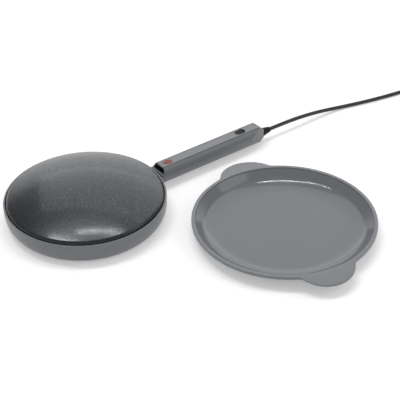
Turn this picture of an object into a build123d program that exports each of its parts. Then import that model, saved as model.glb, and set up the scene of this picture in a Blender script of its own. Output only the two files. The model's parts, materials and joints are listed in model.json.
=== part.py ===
from build123d import *
import math
import os

# Electric crepe maker: a hand-held heated dome on a handle, and a shallow batter dish.
# Millimetres. The origin is on the table under the middle of the head, +X runs along the
# handle and +Z is up.

FIT = 0.02
RUNNING_FIT = 0.05
SEAM = 0.3

# ---- Head -----------------------------------------------------------------------------------
HOUSING_R = 102.5
HOUSING_TOP = 30.0
HOUSING_WALL = 2.2
HOUSING_CORNER_R = 23.5
HOUSING_CORNER_Z = 20.0
FOOT_THICK = 1.5
LEDGE_REACH = 5.0
LEDGE_TOP = 23.5
LEDGE_DEPTH = 4.5

PLATE_GAP = 1.3
PLATE_DOME_TOP = 54.0
PLATE_EDGE_Z = 33.6
PLATE_THICK = 3.5
PLATE_EDGE_R = 4.2
PLATE_SKIRT_WALL = 3.2
GASKET_THICK = 2.0

ELEMENT_RING_R = 62.0
ELEMENT_D = 6.5
ELEMENT_DEPTH = 4.1
ELEMENT_GAP_ANGLE = 15.0
ELEMENT_BEND_R = 6.0
ELEMENT_LEG = 4.0
ELEMENT_PIN_D = 3.0
ELEMENT_PIN_END_Z = 14.0
LAND_HALF_WIDTH = 5.5

SHIELD_INSET = 12.3
SHIELD_TOP = 19.0
SHIELD_THICK = 1.0
SHIELD_PIN_HOLE_R = 4.5
SHIELD_CENTRE_HOLE_R = 22.0

PLATE_SCREW_INSET = 15.8
PLATE_SCREW_ANGLES = (60.0, 180.0, 300.0)
PLATE_SCREW_D = 4.0
PLATE_SCREW_LENGTH = 24.0
POST_R = 6.0
SCREW_SEAT_Z = 5.2
BOSS_R = 5.0

THERMOSTAT_BOSS_DEPTH = 7.5
THERMOSTAT_R = 8.0
THERMOSTAT_BODY = 10.0
THERMOSTAT_FLANGE_THICK = 1.0
THERMOSTAT_HOLE_SPACING = 24.0
THERMOSTAT_BOSS_R = 17.0
TAB_WIDTH = 4.8
TAB_THICK = 0.8
TAB_LENGTH = 7.0
TAB_X = 4.5
SMALL_SCREW_D = 3.0
SMALL_SCREW_LENGTH = 6.0

FUSE_X = -38.0
FUSE_PAD_DEPTH = 5.5
FUSE_PAD_LENGTH = 22.0
FUSE_PAD_WIDTH = 10.0
FUSE_D = 4.0
FUSE_LENGTH = 11.0
CLIP_THICK = 0.8
CLIP_WIDTH = 6.0
CLIP_SCREW_OFFSET = 7.0

FOOT_INSET = 26.5
FOOT_R = 6.5
FOOT_PEG_R = 2.0
FOOT_ANGLES = (30.0, 150.0, 210.0, 330.0)

# ---- Neck and handle ------------------------------------------------------------------------
HANDLE_TOP = 30.0
HANDLE_AXIS_Z = 17.9
HANDLE_R = 13.9
HANDLE_TOP_HALF = 7.9
HANDLE_WALL = 2.4
HANDLE_LIP_X = 109.5
HANDLE_CHEEK_X = 112.3
HANDLE_BROW_X = 115.0
HANDLE_LIP_Z = 22.2
HANDLE_END_X = 286.0
HANDLE_TAPER_X = 256.0
HANDLE_TAPER_MID = (273.0, 9.8)
HANDLE_END_HALF = 5.2
HANDLE_TOP_END_X = 275.5
HANDLE_END_TOP_Z = 20.0
HANDLE_BOTTOM_TAPER_X = 264.0
HANDLE_END_BOTTOM_Z = 9.2
BULKHEAD_X = 117.4
BULKHEAD_THICK = 1.5
INSERT_THICK = 1.6
INSERT_FLOOR = 0.8
INSERT_SILL = 2.4

NECK_TOP_Z = 19.5
TONGUE_END_X = 150.0
CHANNEL_WIDTH = 10.0
CHANNEL_BOTTOM_Z = 12.9
CHANNEL_HEIGHT = 4.5
NECK_SCREW_X = (127.0, 141.0)
HANDLE_SCREW_SEAT_Z = 5.4

COVER_THICK = 2.0
COVER_HALF = 6.8
COVER_LEDGE_THICK = 1.5
COVER_LEDGE_HALF = 5.6
COVER_SCREW_X = (160.0, 204.0)
COVER_SCREW_LENGTH = 16.0
PILLAR_R = 3.0
PILLAR_TOP_Z = 17.0
HOOK_LENGTH = 3.0
HOOK_HALF = 4.5

LENS_X = 126.8
LENS_LENGTH = 13.2
LENS_WIDTH = 9.2
LENS_FLANGE = 0.9
LENS_FLANGE_THICK = 1.2
PINHOLE_X = 118.7
PINHOLE_Y = 1.7
PINHOLE_R = 1.1
LAMP_D = 4.5
LAMP_LENGTH = 11.0
LAMP_HOLDER = 6.0

# ---- Switch, terminals and cord entry ----------------------------------------------------------
SWITCH_X = 247.5
ROCKER_LENGTH = 14.4
ROCKER_WIDTH = 9.0
ROCKER_BOTTOM_Z = 23.0
ROCKER_TOP_Z = 31.0
ROCKER_TILT = 6.0
ROCKER_END_GAP = 0.9
ROCKER_SIDE_GAP = 0.35
PIN_Z = 25.5
PIN_R = 1.0
SWITCH_LENGTH = 20.0
SWITCH_WALL = 1.4
SWITCH_BOTTOM_Z = 19.0
SWITCH_TAB_X = 4.0
SWITCH_TAB_LENGTH = 6.0

BLOCK_X = 172.0
BLOCK_LENGTH = 18.0
BLOCK_WIDTH = 16.0
BLOCK_BOTTOM_Z = 14.0
BLOCK_HEIGHT = 10.0
POLE_Y = 4.0
POLE_Z = 19.0
POLE_BORE_R = 1.3
POLE_SCREW_D = 2.6

CLAMP_X = 262.0
CLAMP_LENGTH = 7.0
CLAMP_SCREW_Y = 6.0
CLAMP_BAR = 2.3
CLAMP_SCREW_LENGTH = 8.0

CORD_D = 5.4
CORD_Z = 14.5
CORD_JACKET_END_X = 257.0
CORE_SIDE = 1.3
LANE_Y = 5.3
WIRE_D = 1.8
BOOT_TIP_X = 299.5
BOOT_LENGTH = 24.0
BOOT_ROOT_R = 6.0
BOOT_TIP_R = 4.0
BOOT_NECK_R = 3.6
BOOT_FLANGE = 0.9
BOOT_FLANGE_THICK = 2.0
BOOT_RIB = 1.7
BOOT_GROOVE = 1.3
BOOT_GROOVE_DEPTH = 1.0

# The free cord's route: from the boot's tip down to the table and along it to the coil.
CORD_ROUTE = [
    (299.5, 0.0, 14.5),
    (324.0, 0.0, 14.5),
    (358.0, -0.5, 13.3),
    (394.0, -0.3, 8.8),
    (432.0, -2.2, 2.72),
    (464.0, -11.0, 2.74),
    (497.0, -18.6, 2.72),
    (533.0, -25.0, 2.74),
    (562.0, -29.0, 2.72),
    (585.0, -30.0, 3.2),
]
COIL_CENTRE = (585.0, -62.7)
COIL_MEAN_R = 30.0
COIL_BASE_Z = 0.6
COIL_TOP_R = 32.7
TIE_THICK = 0.6
TIE_WIDTH = 7.0
PLUG_LENGTH = 36.0
PLUG_WIDTH = 25.0
PLUG_HEIGHT = 13.6
PLUG_FACE_WIDTH = 33.0
PLUG_NOSE = 9.0
CORD_TAIL = [(0.0, 0.0, 8.7), (-9.0, 0.0, 8.7), (-19.0, 0.2, 7.4), (-28.0, 0.0, 6.8)]
PIN_SPACING = 18.6
PLUG_PIN_D = 4.0
PLUG_PIN_LENGTH = 19.0

# ---- Batter dish ----------------------------------------------------------------------------
DISH_CENTRE = (178.6, -176.1)
DISH_R = 114.9
DISH_TOP = 20.0
DISH_WALL = 2.2
DISH_FLOOR_Z = 3.0
DISH_BEND_R = 27.0
DISH_SLOPE = 31.0
DISH_LIP_WIDTH = 4.8
DISH_STEP = 1.8
DISH_MOUTH_ROUND = 0.7
DISH_LIP_THICK = 2.4
DISH_FOOT_R = 64.0
DISH_FOOT_WIDTH = 3.0
EAR_ANGLES = (77.4, -102.6)
EAR_R = 37.5
EAR_CENTRE_R = 98.0
EAR_TOP_Z = 19.0
EAR_THICK = 2.4
EAR_FILLET = 6.0

# ---- Values that follow from the ones above -----------------------------------------------------
HOUSING_INNER_R = HOUSING_R - HOUSING_WALL
HOUSING_FLOOR_Z = FOOT_THICK + HOUSING_WALL
PLATE_R = HOUSING_INNER_R - PLATE_GAP
PLATE_SKIRT_Z = LEDGE_TOP + GASKET_THICK
PLATE_INNER_R = PLATE_R - PLATE_SKIRT_WALL
COVER_UNDER_Z = HANDLE_TOP - COVER_THICK
COVER_LEDGE_Z = COVER_UNDER_Z - COVER_LEDGE_THICK
HANDLE_BOTTOM_Z = HANDLE_AXIS_Z - HANDLE_R
TONGUE_INSET = HANDLE_WALL + SEAM
BOOT_BORE_R = CORD_D / 2 + FIT
PLATE_SCREW_RING_R = PLATE_INNER_R - PLATE_SCREW_INSET
SHIELD_R = HOUSING_INNER_R - SHIELD_INSET
FOOT_RING_R = HOUSING_R - FOOT_INSET
THERMOSTAT_Z = PLATE_DOME_TOP - PLATE_THICK - THERMOSTAT_BOSS_DEPTH
DISH_MOUTH_R = DISH_R - DISH_LIP_WIDTH


def polar(radius, angle):
    """Return x and y of a point at a radius and an angle in degrees."""
    turn = math.radians(angle)
    return radius * math.cos(turn), radius * math.sin(turn)


def dome_edge():
    """Return the dome's sphere radius and the radius at which its cap meets the edge roll."""
    rise = PLATE_DOME_TOP - PLATE_EDGE_Z
    cap_r = PLATE_R - PLATE_EDGE_R
    for _ in range(20):
        sphere = (cap_r**2 + rise**2) / (2 * rise)
        cap_r = PLATE_R - PLATE_EDGE_R * (1 - cap_r / sphere)
    return sphere, cap_r


DOME_R, DOME_CAP_R = dome_edge()
DOME_CENTRE_Z = PLATE_DOME_TOP - DOME_R


def underside_z(radius, depth=PLATE_THICK):
    """Return the height of the surface that lies a depth below the dome, at a radius."""
    return DOME_CENTRE_Z + math.sqrt((DOME_R - depth) ** 2 - radius**2)


ELEMENT_Z = underside_z(ELEMENT_RING_R) - ELEMENT_DEPTH
FUSE_PAD_Z = underside_z(-FUSE_X) - FUSE_PAD_DEPTH


def turned(*edges):
    """Revolve a closed outline, drawn as radius and height, about the Z axis."""
    return revolve(Plane.XZ * make_face(list(edges)), Axis.Z)


def ring(r_out, r_in, z_low, z_high):
    """Return a flat ring about the Z axis."""
    return upright(r_out, z_low, z_high) - upright(r_in, z_low, z_high)


def upright(radius, z_low, z_high, x=0.0, y=0.0):
    """Return an upright cylinder between two heights."""
    return Pos(x, y, z_low) * Cylinder(radius, z_high - z_low, align=(Align.CENTER, Align.CENTER, Align.MIN))


def lengthwise(radius, x_low, x_high, y=0.0, z=0.0):
    """Return a cylinder along X between two stations."""
    return Pos((x_low + x_high) / 2, y, z) * Rot(0, 90, 0) * Cylinder(radius, x_high - x_low)


def block(x_low, x_high, half_width, z_low, z_high, y=0.0):
    """Return a box between two stations and two heights, even about a line at y."""
    size = (x_high - x_low, 2 * half_width, z_high - z_low)
    return Pos((x_low + x_high) / 2, y, (z_low + z_high) / 2) * Box(*size)


def joined(pieces):
    """Fuse a list of solids."""
    whole = pieces[0]
    for piece in pieces[1:]:
        whole = whole + piece
    return whole


def slot_column(length, width, z_low, z_high, x=0.0, y=0.0):
    """Return an upright block with a long round-ended outline along X."""
    return Pos(x, y, z_low) * extrude(SlotOverall(length, width), z_high - z_low)


def oval_column(length, width, z_low, z_high, x):
    """Return an upright column of oval outline, long along X."""
    return Pos(x, 0, z_low) * extrude(Ellipse(length / 2, width / 2), z_high - z_low)


def screw(diameter, length, head_d, head_h):
    """Return a cross-head screw with its seat at the origin and its shaft up along Z."""
    head = upright(head_d / 2, -head_h, 0)
    head = chamfer(head.faces().sort_by(Axis.Z)[0].edges(), head_h * 0.3)
    cross = Box(head_d * 0.6, diameter * 0.22, head_h) + Box(diameter * 0.22, head_d * 0.6, head_h)
    shaft = upright(diameter / 2, 0, length)
    shaft = chamfer(shaft.faces().sort_by(Axis.Z)[-1].edges(), diameter * 0.15)
    return head + shaft - Pos(0, 0, -head_h) * cross


def wire(points, radius, diameter=WIRE_D):
    """Return a round conductor along straight runs joined by arcs of one radius."""
    path = FilletPolyline(*points, radius=radius)
    return sweep(Plane(origin=path @ 0, z_dir=path % 0) * Circle(diameter / 2), path=path)


def group(pieces):
    """Keep separate solids together as one node."""
    return Compound(children=pieces)


# ---- Head -----------------------------------------------------------------------------------
def pan_outline(inset):
    """Return the housing's radius profile, moved inwards by a wall, as a filled solid."""
    side_r = HOUSING_R - inset
    arc_r = HOUSING_CORNER_R - inset
    arc_x = HOUSING_R - HOUSING_CORNER_R
    base = FOOT_THICK + inset
    base_r = arc_x + math.sqrt(arc_r**2 - (HOUSING_CORNER_Z - base) ** 2)
    turn = math.radians(20)
    middle = (arc_x + arc_r * math.cos(turn), HOUSING_CORNER_Z - arc_r * math.sin(turn))
    return turned(
        Line((0, base), (base_r, base)),
        ThreePointArc((base_r, base), middle, (side_r, HOUSING_CORNER_Z)),
        Line((side_r, HOUSING_CORNER_Z), (side_r, HOUSING_TOP)),
        Line((side_r, HOUSING_TOP), (0, HOUSING_TOP)),
        Line((0, HOUSING_TOP), (0, base)),
    )


def seat_ledge():
    """Return the inner ledge of the housing that carries the gasket and plate."""
    inner = HOUSING_INNER_R - LEDGE_REACH
    wall = HOUSING_INNER_R + 0.5 * HOUSING_WALL
    return turned(
        Line((inner, LEDGE_TOP), (wall, LEDGE_TOP)),
        Line((wall, LEDGE_TOP), (wall, LEDGE_TOP - LEDGE_DEPTH)),
        Line((wall, LEDGE_TOP - LEDGE_DEPTH), (HOUSING_INNER_R, LEDGE_TOP - LEDGE_DEPTH)),
        Line((HOUSING_INNER_R, LEDGE_TOP - LEDGE_DEPTH), (inner, LEDGE_TOP - 1.0)),
        Line((inner, LEDGE_TOP - 1.0), (inner, LEDGE_TOP)),
    )


def handle_section(inset):
    """Return the handle's D-shaped section on a plane across X, moved inwards by a wall."""
    side = HANDLE_R - inset
    top_half = HANDLE_TOP_HALF - inset * 0.4
    top = HANDLE_TOP - inset * 0.01
    rise = top - HANDLE_AXIS_Z
    arc_r = ((side - top_half) ** 2 + rise**2) / (2 * (side - top_half))
    mid_turn = math.asin(rise / arc_r) / 2
    mid_y = side - arc_r * (1 - math.cos(mid_turn))
    mid_z = HANDLE_AXIS_Z + arc_r * math.sin(mid_turn)
    outline = [
        Line((-top_half, top), (top_half, top)),
        ThreePointArc((top_half, top), (mid_y, mid_z), (side, HANDLE_AXIS_Z)),
        ThreePointArc((side, HANDLE_AXIS_Z), (0, HANDLE_AXIS_Z - side), (-side, HANDLE_AXIS_Z)),
        ThreePointArc((-side, HANDLE_AXIS_Z), (-mid_y, mid_z), (-top_half, top)),
    ]
    return Plane.YZ * make_face(outline)


def handle_bar(inset, x_low, x_high):
    """Return a straight bar of the handle's section between two stations."""
    return Pos(x_low, 0, 0) * extrude(handle_section(inset), x_high - x_low)


def neck():
    """Return the neck behind the head with the tongue that enters the handle."""
    shoulder = handle_bar(0, HOUSING_R - HOUSING_CORNER_R, HANDLE_LIP_X) - pan_outline(HOUSING_WALL / 2)
    tongue = handle_bar(TONGUE_INSET, HANDLE_LIP_X - 1, TONGUE_END_X)
    return (shoulder + tongue) & block(0, TONGUE_END_X, HANDLE_R, 0, NECK_TOP_Z)


def base_housing():
    pan = pan_outline(0) - pan_outline(HOUSING_WALL)
    posts = [upright(POST_R, HOUSING_FLOOR_Z - 0.5, SHIELD_TOP - SHIELD_THICK, *polar(PLATE_SCREW_RING_R, a))
             for a in PLATE_SCREW_ANGLES]
    body = joined([pan, seat_ledge(), neck()] + posts)
    for angle in PLATE_SCREW_ANGLES:
        x, y = polar(PLATE_SCREW_RING_R, angle)
        body -= upright(PLATE_SCREW_D + SEAM, 0, SCREW_SEAT_Z, x, y)
        body -= upright(PLATE_SCREW_D / 2 + SEAM, SCREW_SEAT_Z - 1, SHIELD_TOP, x, y)
    for angle in FOOT_ANGLES:
        body -= upright(FOOT_PEG_R + FIT, 0, HOUSING_FLOOR_Z + 1, *polar(FOOT_RING_R, angle))
    channel_top = CHANNEL_BOTTOM_Z + CHANNEL_HEIGHT
    body -= block(HOUSING_INNER_R - 12, TONGUE_END_X + 1, CHANNEL_WIDTH / 2, CHANNEL_BOTTOM_Z, channel_top)
    for x in NECK_SCREW_X:
        body -= upright(SMALL_SCREW_D / 2 + FIT, 0, CHANNEL_BOTTOM_Z - 0.4, x)
    rim = body.edges().filter_by(GeomType.CIRCLE).group_by(Axis.Z)[-1]
    return fillet(rim, HOUSING_WALL * 0.3)


def heating_plate():
    slope = math.asin(DOME_CAP_R / DOME_R)
    edge_z = underside_z(DOME_CAP_R, 0)
    roll_z = edge_z - PLATE_EDGE_R * math.cos(slope)
    mid_turn = (math.pi / 2 - slope) / 2
    roll_x = PLATE_R - PLATE_EDGE_R
    roll_mid = (roll_x + PLATE_EDGE_R * math.cos(mid_turn), roll_z + PLATE_EDGE_R * math.sin(mid_turn))
    inner_z = underside_z(PLATE_INNER_R)
    half = DOME_CAP_R / 2
    shell = turned(
        ThreePointArc((0, PLATE_DOME_TOP), (half, underside_z(half, 0)), (DOME_CAP_R, edge_z)),
        ThreePointArc((DOME_CAP_R, edge_z), roll_mid, (PLATE_R, roll_z)),
        Line((PLATE_R, roll_z), (PLATE_R, PLATE_SKIRT_Z)),
        Line((PLATE_R, PLATE_SKIRT_Z), (PLATE_INNER_R, PLATE_SKIRT_Z)),
        Line((PLATE_INNER_R, PLATE_SKIRT_Z), (PLATE_INNER_R, inner_z)),
        ThreePointArc((PLATE_INNER_R, inner_z), (half, underside_z(half)), (0, underside_z(0))),
        Line((0, underside_z(0)), (0, PLATE_DOME_TOP)),
    )
    land_in = ELEMENT_RING_R - LAND_HALF_WIDTH
    land_out = ELEMENT_RING_R + LAND_HALF_WIDTH
    land = ring(land_out, land_in, ELEMENT_Z, underside_z(land_out) + 1)
    fuse_pad = block(FUSE_X - FUSE_PAD_LENGTH / 2, FUSE_X + FUSE_PAD_LENGTH / 2, FUSE_PAD_WIDTH / 2,
                     FUSE_PAD_Z, underside_z(-FUSE_X) + 1.5)
    bosses = [upright(BOSS_R, SHIELD_TOP, underside_z(PLATE_SCREW_RING_R) + 1, *polar(PLATE_SCREW_RING_R, a))
              for a in PLATE_SCREW_ANGLES]
    centre = upright(THERMOSTAT_BOSS_R, THERMOSTAT_Z, underside_z(0))
    body = joined([shell, land, centre, fuse_pad] + bosses)
    groove_r = ELEMENT_D / 2 + RUNNING_FIT
    body -= Pos(0, 0, ELEMENT_Z) * Torus(ELEMENT_RING_R, groove_r)
    for angle in PLATE_SCREW_ANGLES:
        x, y = polar(PLATE_SCREW_RING_R, angle)
        body -= upright(PLATE_SCREW_D / 2 + FIT, 0, SCREW_SEAT_Z + PLATE_SCREW_LENGTH + 1, x, y)
    small_r = SMALL_SCREW_D / 2 + FIT
    for y in (-THERMOSTAT_HOLE_SPACING / 2, THERMOSTAT_HOLE_SPACING / 2):
        body -= upright(small_r, THERMOSTAT_Z - 1, THERMOSTAT_Z + SMALL_SCREW_LENGTH, 0, y)
    body -= upright(small_r, FUSE_PAD_Z - 1, FUSE_PAD_Z + SMALL_SCREW_LENGTH, FUSE_X - CLIP_SCREW_OFFSET)
    return body


def plate_gasket():
    return ring(PLATE_R, PLATE_INNER_R, LEDGE_TOP, PLATE_SKIRT_Z)


def heating_element():
    """Return the tubular ring with its two ends bent down to their cold legs."""
    arc = 360 - 2 * ELEMENT_GAP_ANGLE
    start = Plane(origin=(ELEMENT_RING_R, 0, ELEMENT_Z), z_dir=(0, 1, 0)) * Circle(ELEMENT_D / 2)
    tube = Rot(0, 0, ELEMENT_GAP_ANGLE) * revolve(start, Axis.Z, arc)
    legs = []
    for side in (1, -1):
        leg = upright(ELEMENT_D / 2, -ELEMENT_LEG, 0, ELEMENT_BEND_R)
        x, y = polar(ELEMENT_RING_R, side * ELEMENT_GAP_ANGLE)
        turn = side * (ELEMENT_GAP_ANGLE - 90)
        shift = Pos(x, y, ELEMENT_Z - ELEMENT_BEND_R) * Rot(0, 0, turn)
        legs.append(shift * (elbow() + leg))
    return joined([tube] + legs)


def elbow():
    """Return a quarter bend from level, at the origin's height, down to a leg along -Z."""
    circle = Plane(origin=(0, 0, ELEMENT_BEND_R), z_dir=(1, 0, 0)) * Circle(ELEMENT_D / 2)
    return revolve(circle, Axis.Y, 90)


def element_leg_points():
    """Return x and y of the two cold legs."""
    points = []
    for side in (1, -1):
        x, y = polar(ELEMENT_RING_R, side * ELEMENT_GAP_ANGLE)
        dx, dy = polar(ELEMENT_BEND_R, side * (ELEMENT_GAP_ANGLE - 90))
        points.append((x + dx, y + dy))
    return points


def element_pins():
    top = ELEMENT_Z - ELEMENT_BEND_R - ELEMENT_LEG
    return group([upright(ELEMENT_PIN_D / 2, ELEMENT_PIN_END_Z, top, x, y) for x, y in element_leg_points()])


def heat_shield():
    disc = ring(SHIELD_R, SHIELD_CENTRE_HOLE_R, SHIELD_TOP - SHIELD_THICK, SHIELD_TOP)
    bottom = SHIELD_TOP - SHIELD_THICK
    for angle in PLATE_SCREW_ANGLES:
        disc -= upright(PLATE_SCREW_D / 2 + SEAM, bottom, SHIELD_TOP, *polar(PLATE_SCREW_RING_R, angle))
    for x, y in element_leg_points():
        disc -= upright(SHIELD_PIN_HOLE_R, bottom, SHIELD_TOP, x, y)
    return disc


def plate_screws():
    piece = screw(PLATE_SCREW_D, PLATE_SCREW_LENGTH, PLATE_SCREW_D * 2, PLATE_SCREW_D * 0.6)
    return group([Pos(*polar(PLATE_SCREW_RING_R, a), SCREW_SEAT_Z) * piece for a in PLATE_SCREW_ANGLES])


def thermostat():
    """Return the bimetal thermostat: cap and flange against the plate, body below."""
    half = THERMOSTAT_HOLE_SPACING / 2
    low = THERMOSTAT_Z - THERMOSTAT_FLANGE_THICK
    flange = Pos(0, 0, low) * extrude(Rot(0, 0, 90) * SlotCenterToCenter(2 * half, SMALL_SCREW_D * 2.4),
                                      THERMOSTAT_FLANGE_THICK)
    for y in (-half, half):
        flange -= upright(SMALL_SCREW_D / 2 + SEAM / 2, low, THERMOSTAT_Z, 0, y)
    body = upright(THERMOSTAT_R, THERMOSTAT_Z - THERMOSTAT_BODY, THERMOSTAT_Z)
    return body + flange


def thermostat_tabs():
    top = THERMOSTAT_Z - THERMOSTAT_BODY
    return group([block(x - TAB_THICK / 2, x + TAB_THICK / 2, TAB_WIDTH / 2, top - TAB_LENGTH, top)
                  for x in (-TAB_X, TAB_X)])


def small_screw():
    return screw(SMALL_SCREW_D, SMALL_SCREW_LENGTH, SMALL_SCREW_D * 1.85, 1.6)


def thermostat_screws():
    seat = THERMOSTAT_Z - THERMOSTAT_FLANGE_THICK
    half = THERMOSTAT_HOLE_SPACING / 2
    return group([Pos(0, y, seat) * small_screw() for y in (-half, half)])


def thermal_fuse():
    body = Rot(90, 0, 0) * Cylinder(FUSE_D / 2, FUSE_LENGTH)
    body = chamfer(body.edges(), FUSE_D * 0.15)
    return Pos(FUSE_X, 0, FUSE_PAD_Z - FUSE_D / 2 - FIT) * body


def fuse_clip():
    """Return the bent strip that holds the fuse against its pad."""
    inner = FUSE_D / 2 + RUNNING_FIT
    outer = inner + CLIP_THICK
    z = FUSE_PAD_Z - FUSE_D / 2 - FIT
    saddle = Pos(FUSE_X, 0, z) * Rot(90, 0, 0) * Cylinder(outer, CLIP_WIDTH)
    saddle &= block(FUSE_X - outer, FUSE_X + outer, CLIP_WIDTH / 2, z - outer, z)
    saddle += block(FUSE_X - outer, FUSE_X + outer, CLIP_WIDTH / 2, z, FUSE_PAD_Z)
    tongue_end = FUSE_X - CLIP_SCREW_OFFSET - SMALL_SCREW_D
    tongue = block(tongue_end, FUSE_X, CLIP_WIDTH / 2, FUSE_PAD_Z - CLIP_THICK, FUSE_PAD_Z)
    tongue -= upright(SMALL_SCREW_D / 2 + SEAM / 2, 0, FUSE_PAD_Z, FUSE_X - CLIP_SCREW_OFFSET)
    room = Pos(FUSE_X, 0, z) * Rot(90, 0, 0) * Cylinder(inner, CLIP_WIDTH + 1)
    room += block(FUSE_X - inner, FUSE_X + inner, CLIP_WIDTH, z, FUSE_PAD_Z)
    return saddle + tongue - room


def fuse_clip_screw():
    return Pos(FUSE_X - CLIP_SCREW_OFFSET, 0, FUSE_PAD_Z - CLIP_THICK) * small_screw()


def rubber_feet():
    pad = chamfer(upright(FOOT_R, 0, FOOT_THICK).faces().sort_by(Axis.Z)[0].edges(), FOOT_THICK * 0.25)
    foot = pad + upright(FOOT_PEG_R, 0, HOUSING_FLOOR_Z + 1)
    foot += upright(FOOT_PEG_R * 1.4, HOUSING_FLOOR_Z, HOUSING_FLOOR_Z + 1.2)
    return group([Pos(*polar(FOOT_RING_R, a), 0) * foot for a in FOOT_ANGLES])


# ---- Handle ---------------------------------------------------------------------------------
def plan_outline(inset):
    """Return the handle's tapered end as seen from above, as a tall block."""
    side = HANDLE_R - inset
    mid_x = HANDLE_TAPER_MID[0] - inset / 2
    mid_y = HANDLE_TAPER_MID[1] - inset
    end_x = HANDLE_END_X - inset
    end_y = HANDLE_END_HALF - inset / 2
    edges = [
        Line((0, side), (HANDLE_TAPER_X, side)),
        ThreePointArc((HANDLE_TAPER_X, side), (mid_x, mid_y), (end_x, end_y)),
        Line((end_x, end_y), (end_x, -end_y)),
        ThreePointArc((end_x, -end_y), (mid_x, -mid_y), (HANDLE_TAPER_X, -side)),
        Line((HANDLE_TAPER_X, -side), (0, -side)),
        Line((0, -side), (0, side)),
    ]
    return extrude(make_face(edges), HANDLE_TOP + 5)


def side_outline(inset):
    """Return the handle's side view, with its slanted mouth and sloping end, as a wide block."""
    end_x = HANDLE_END_X - inset
    front = 0 if inset else HANDLE_LIP_X + SEAM
    brow = 0 if inset else HANDLE_BROW_X
    lip = 0 if inset else HANDLE_LIP_X
    top = HANDLE_TOP
    bottom = HANDLE_BOTTOM_Z - SEAM
    end_top = HANDLE_END_TOP_Z - inset
    end_bottom = HANDLE_END_BOTTOM_Z + inset
    crest = ((HANDLE_TOP_END_X + end_x) / 2 + 1.0, (top + end_top) / 2 + 1.2)
    start_x = HANDLE_TOP_END_X - inset
    points = [(end_x, end_top), (end_x, end_bottom), (HANDLE_BOTTOM_TAPER_X, bottom + inset)]
    points += [(front, bottom + inset)]
    if inset:
        points += [(front, top)]
    else:
        points += [(front, NECK_TOP_Z + SEAM), (lip, NECK_TOP_Z + SEAM), (lip, HANDLE_LIP_Z),
                   (HANDLE_CHEEK_X, HANDLE_LIP_Z), (brow, top)]
    points += [(start_x, top)]
    edges = [Line(a, b) for a, b in zip(points, points[1:])]
    edges.append(ThreePointArc((start_x, top), crest, (end_x, end_top)))
    wide = 4 * HANDLE_R
    return Pos(0, wide / 2, 0) * extrude(Plane.XZ * make_face(edges), wide)


def handle_envelope(inset):
    """Return the handle's outer form, or its hollow when moved inwards by a wall."""
    bar = handle_bar(inset, HANDLE_LIP_X - 5, HANDLE_END_X)
    return bar & plan_outline(inset) & side_outline(inset)


def cover_slot(half_width, z_low):
    """Return the slot in the handle's top that takes the cover."""
    return block(0, HANDLE_TOP_END_X, half_width, z_low, HANDLE_TOP + 1)


def switch_room(gap):
    """Return the space that the switch body takes in the handle, with a gap all round."""
    half = ROCKER_WIDTH / 2 + ROCKER_SIDE_GAP + SWITCH_WALL + gap
    length = SWITCH_LENGTH / 2 + gap
    return block(SWITCH_X - length, SWITCH_X + length, half, SWITCH_BOTTOM_Z - gap, COVER_UNDER_Z)


def handle_body():
    outer = handle_envelope(0)
    hollow = handle_envelope(HANDLE_WALL) & block(0, HANDLE_END_X, HANDLE_R, 0, COVER_LEDGE_Z)
    hollow += block(0, HANDLE_TOP_END_X, COVER_LEDGE_HALF, COVER_LEDGE_Z - 1, COVER_UNDER_Z + 0.5)
    hollow += cover_slot(HANDLE_TOP_HALF, COVER_UNDER_Z)
    mouth = handle_bar(HANDLE_WALL, HANDLE_LIP_X - 5, BULKHEAD_X)
    hollow += mouth & block(0, BULKHEAD_X, HANDLE_R, HANDLE_LIP_Z, COVER_UNDER_Z)
    hollow += switch_room(SEAM)
    behind = BULKHEAD_X + BULKHEAD_THICK
    hollow -= block(0, behind, HANDLE_R, NECK_TOP_Z + SEAM, HANDLE_LIP_Z)
    hollow -= block(BULKHEAD_X, behind, HANDLE_R, NECK_TOP_Z + SEAM, COVER_UNDER_Z)
    hollow += block(0, BULKHEAD_X + 10, HANDLE_TOP_HALF, COVER_UNDER_Z, HANDLE_TOP + 1)
    body = outer - hollow
    for x in COVER_SCREW_X:
        body += upright(PILLAR_R, HANDLE_BOTTOM_Z + HANDLE_WALL - 0.6, PILLAR_TOP_Z, x)
    for x in (BLOCK_X + 2, BLOCK_X + BLOCK_LENGTH - 4):
        body += inner_rib(x, x + 2, BLOCK_BOTTOM_Z)
    body += cord_cradle()
    for x in COVER_SCREW_X + NECK_SCREW_X:
        body -= upright(SMALL_SCREW_D, 0, HANDLE_SCREW_SEAT_Z, x)
        body -= upright(SMALL_SCREW_D / 2 + SEAM / 2, 0, PILLAR_TOP_Z + 1, x)
    wall_in = HANDLE_END_X - HANDLE_WALL
    pocket_x = wall_in - BOOT_FLANGE_THICK - SEAM
    body -= lengthwise(BOOT_NECK_R + BOOT_FLANGE + RUNNING_FIT, pocket_x, wall_in, 0, CORD_Z)
    body -= lengthwise(BOOT_NECK_R + RUNNING_FIT, BOOT_TIP_X - BOOT_LENGTH - 1, HANDLE_END_X + 1, 0, CORD_Z)
    return body


def mouth_insert():
    """Return the black insert that lines the back and floor of the handle's front opening."""
    form = handle_bar(HANDLE_WALL + FIT, HANDLE_LIP_X, BULKHEAD_X)
    back = form & block(BULKHEAD_X - INSERT_THICK, BULKHEAD_X, HANDLE_R, HANDLE_LIP_Z, COVER_UNDER_Z)
    sill_z = HANDLE_LIP_Z + INSERT_FLOOR
    return back + (form & block(HANDLE_LIP_X + INSERT_SILL, BULKHEAD_X, HANDLE_R, HANDLE_LIP_Z, sill_z))


def inner_rib(x_low, x_high, z_high):
    """Return a cross rib that fills the hollow's lower part up to a height."""
    return handle_bar(HANDLE_WALL - 0.4, x_low, x_high) & block(x_low, x_high, HANDLE_R, 0, z_high)


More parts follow.
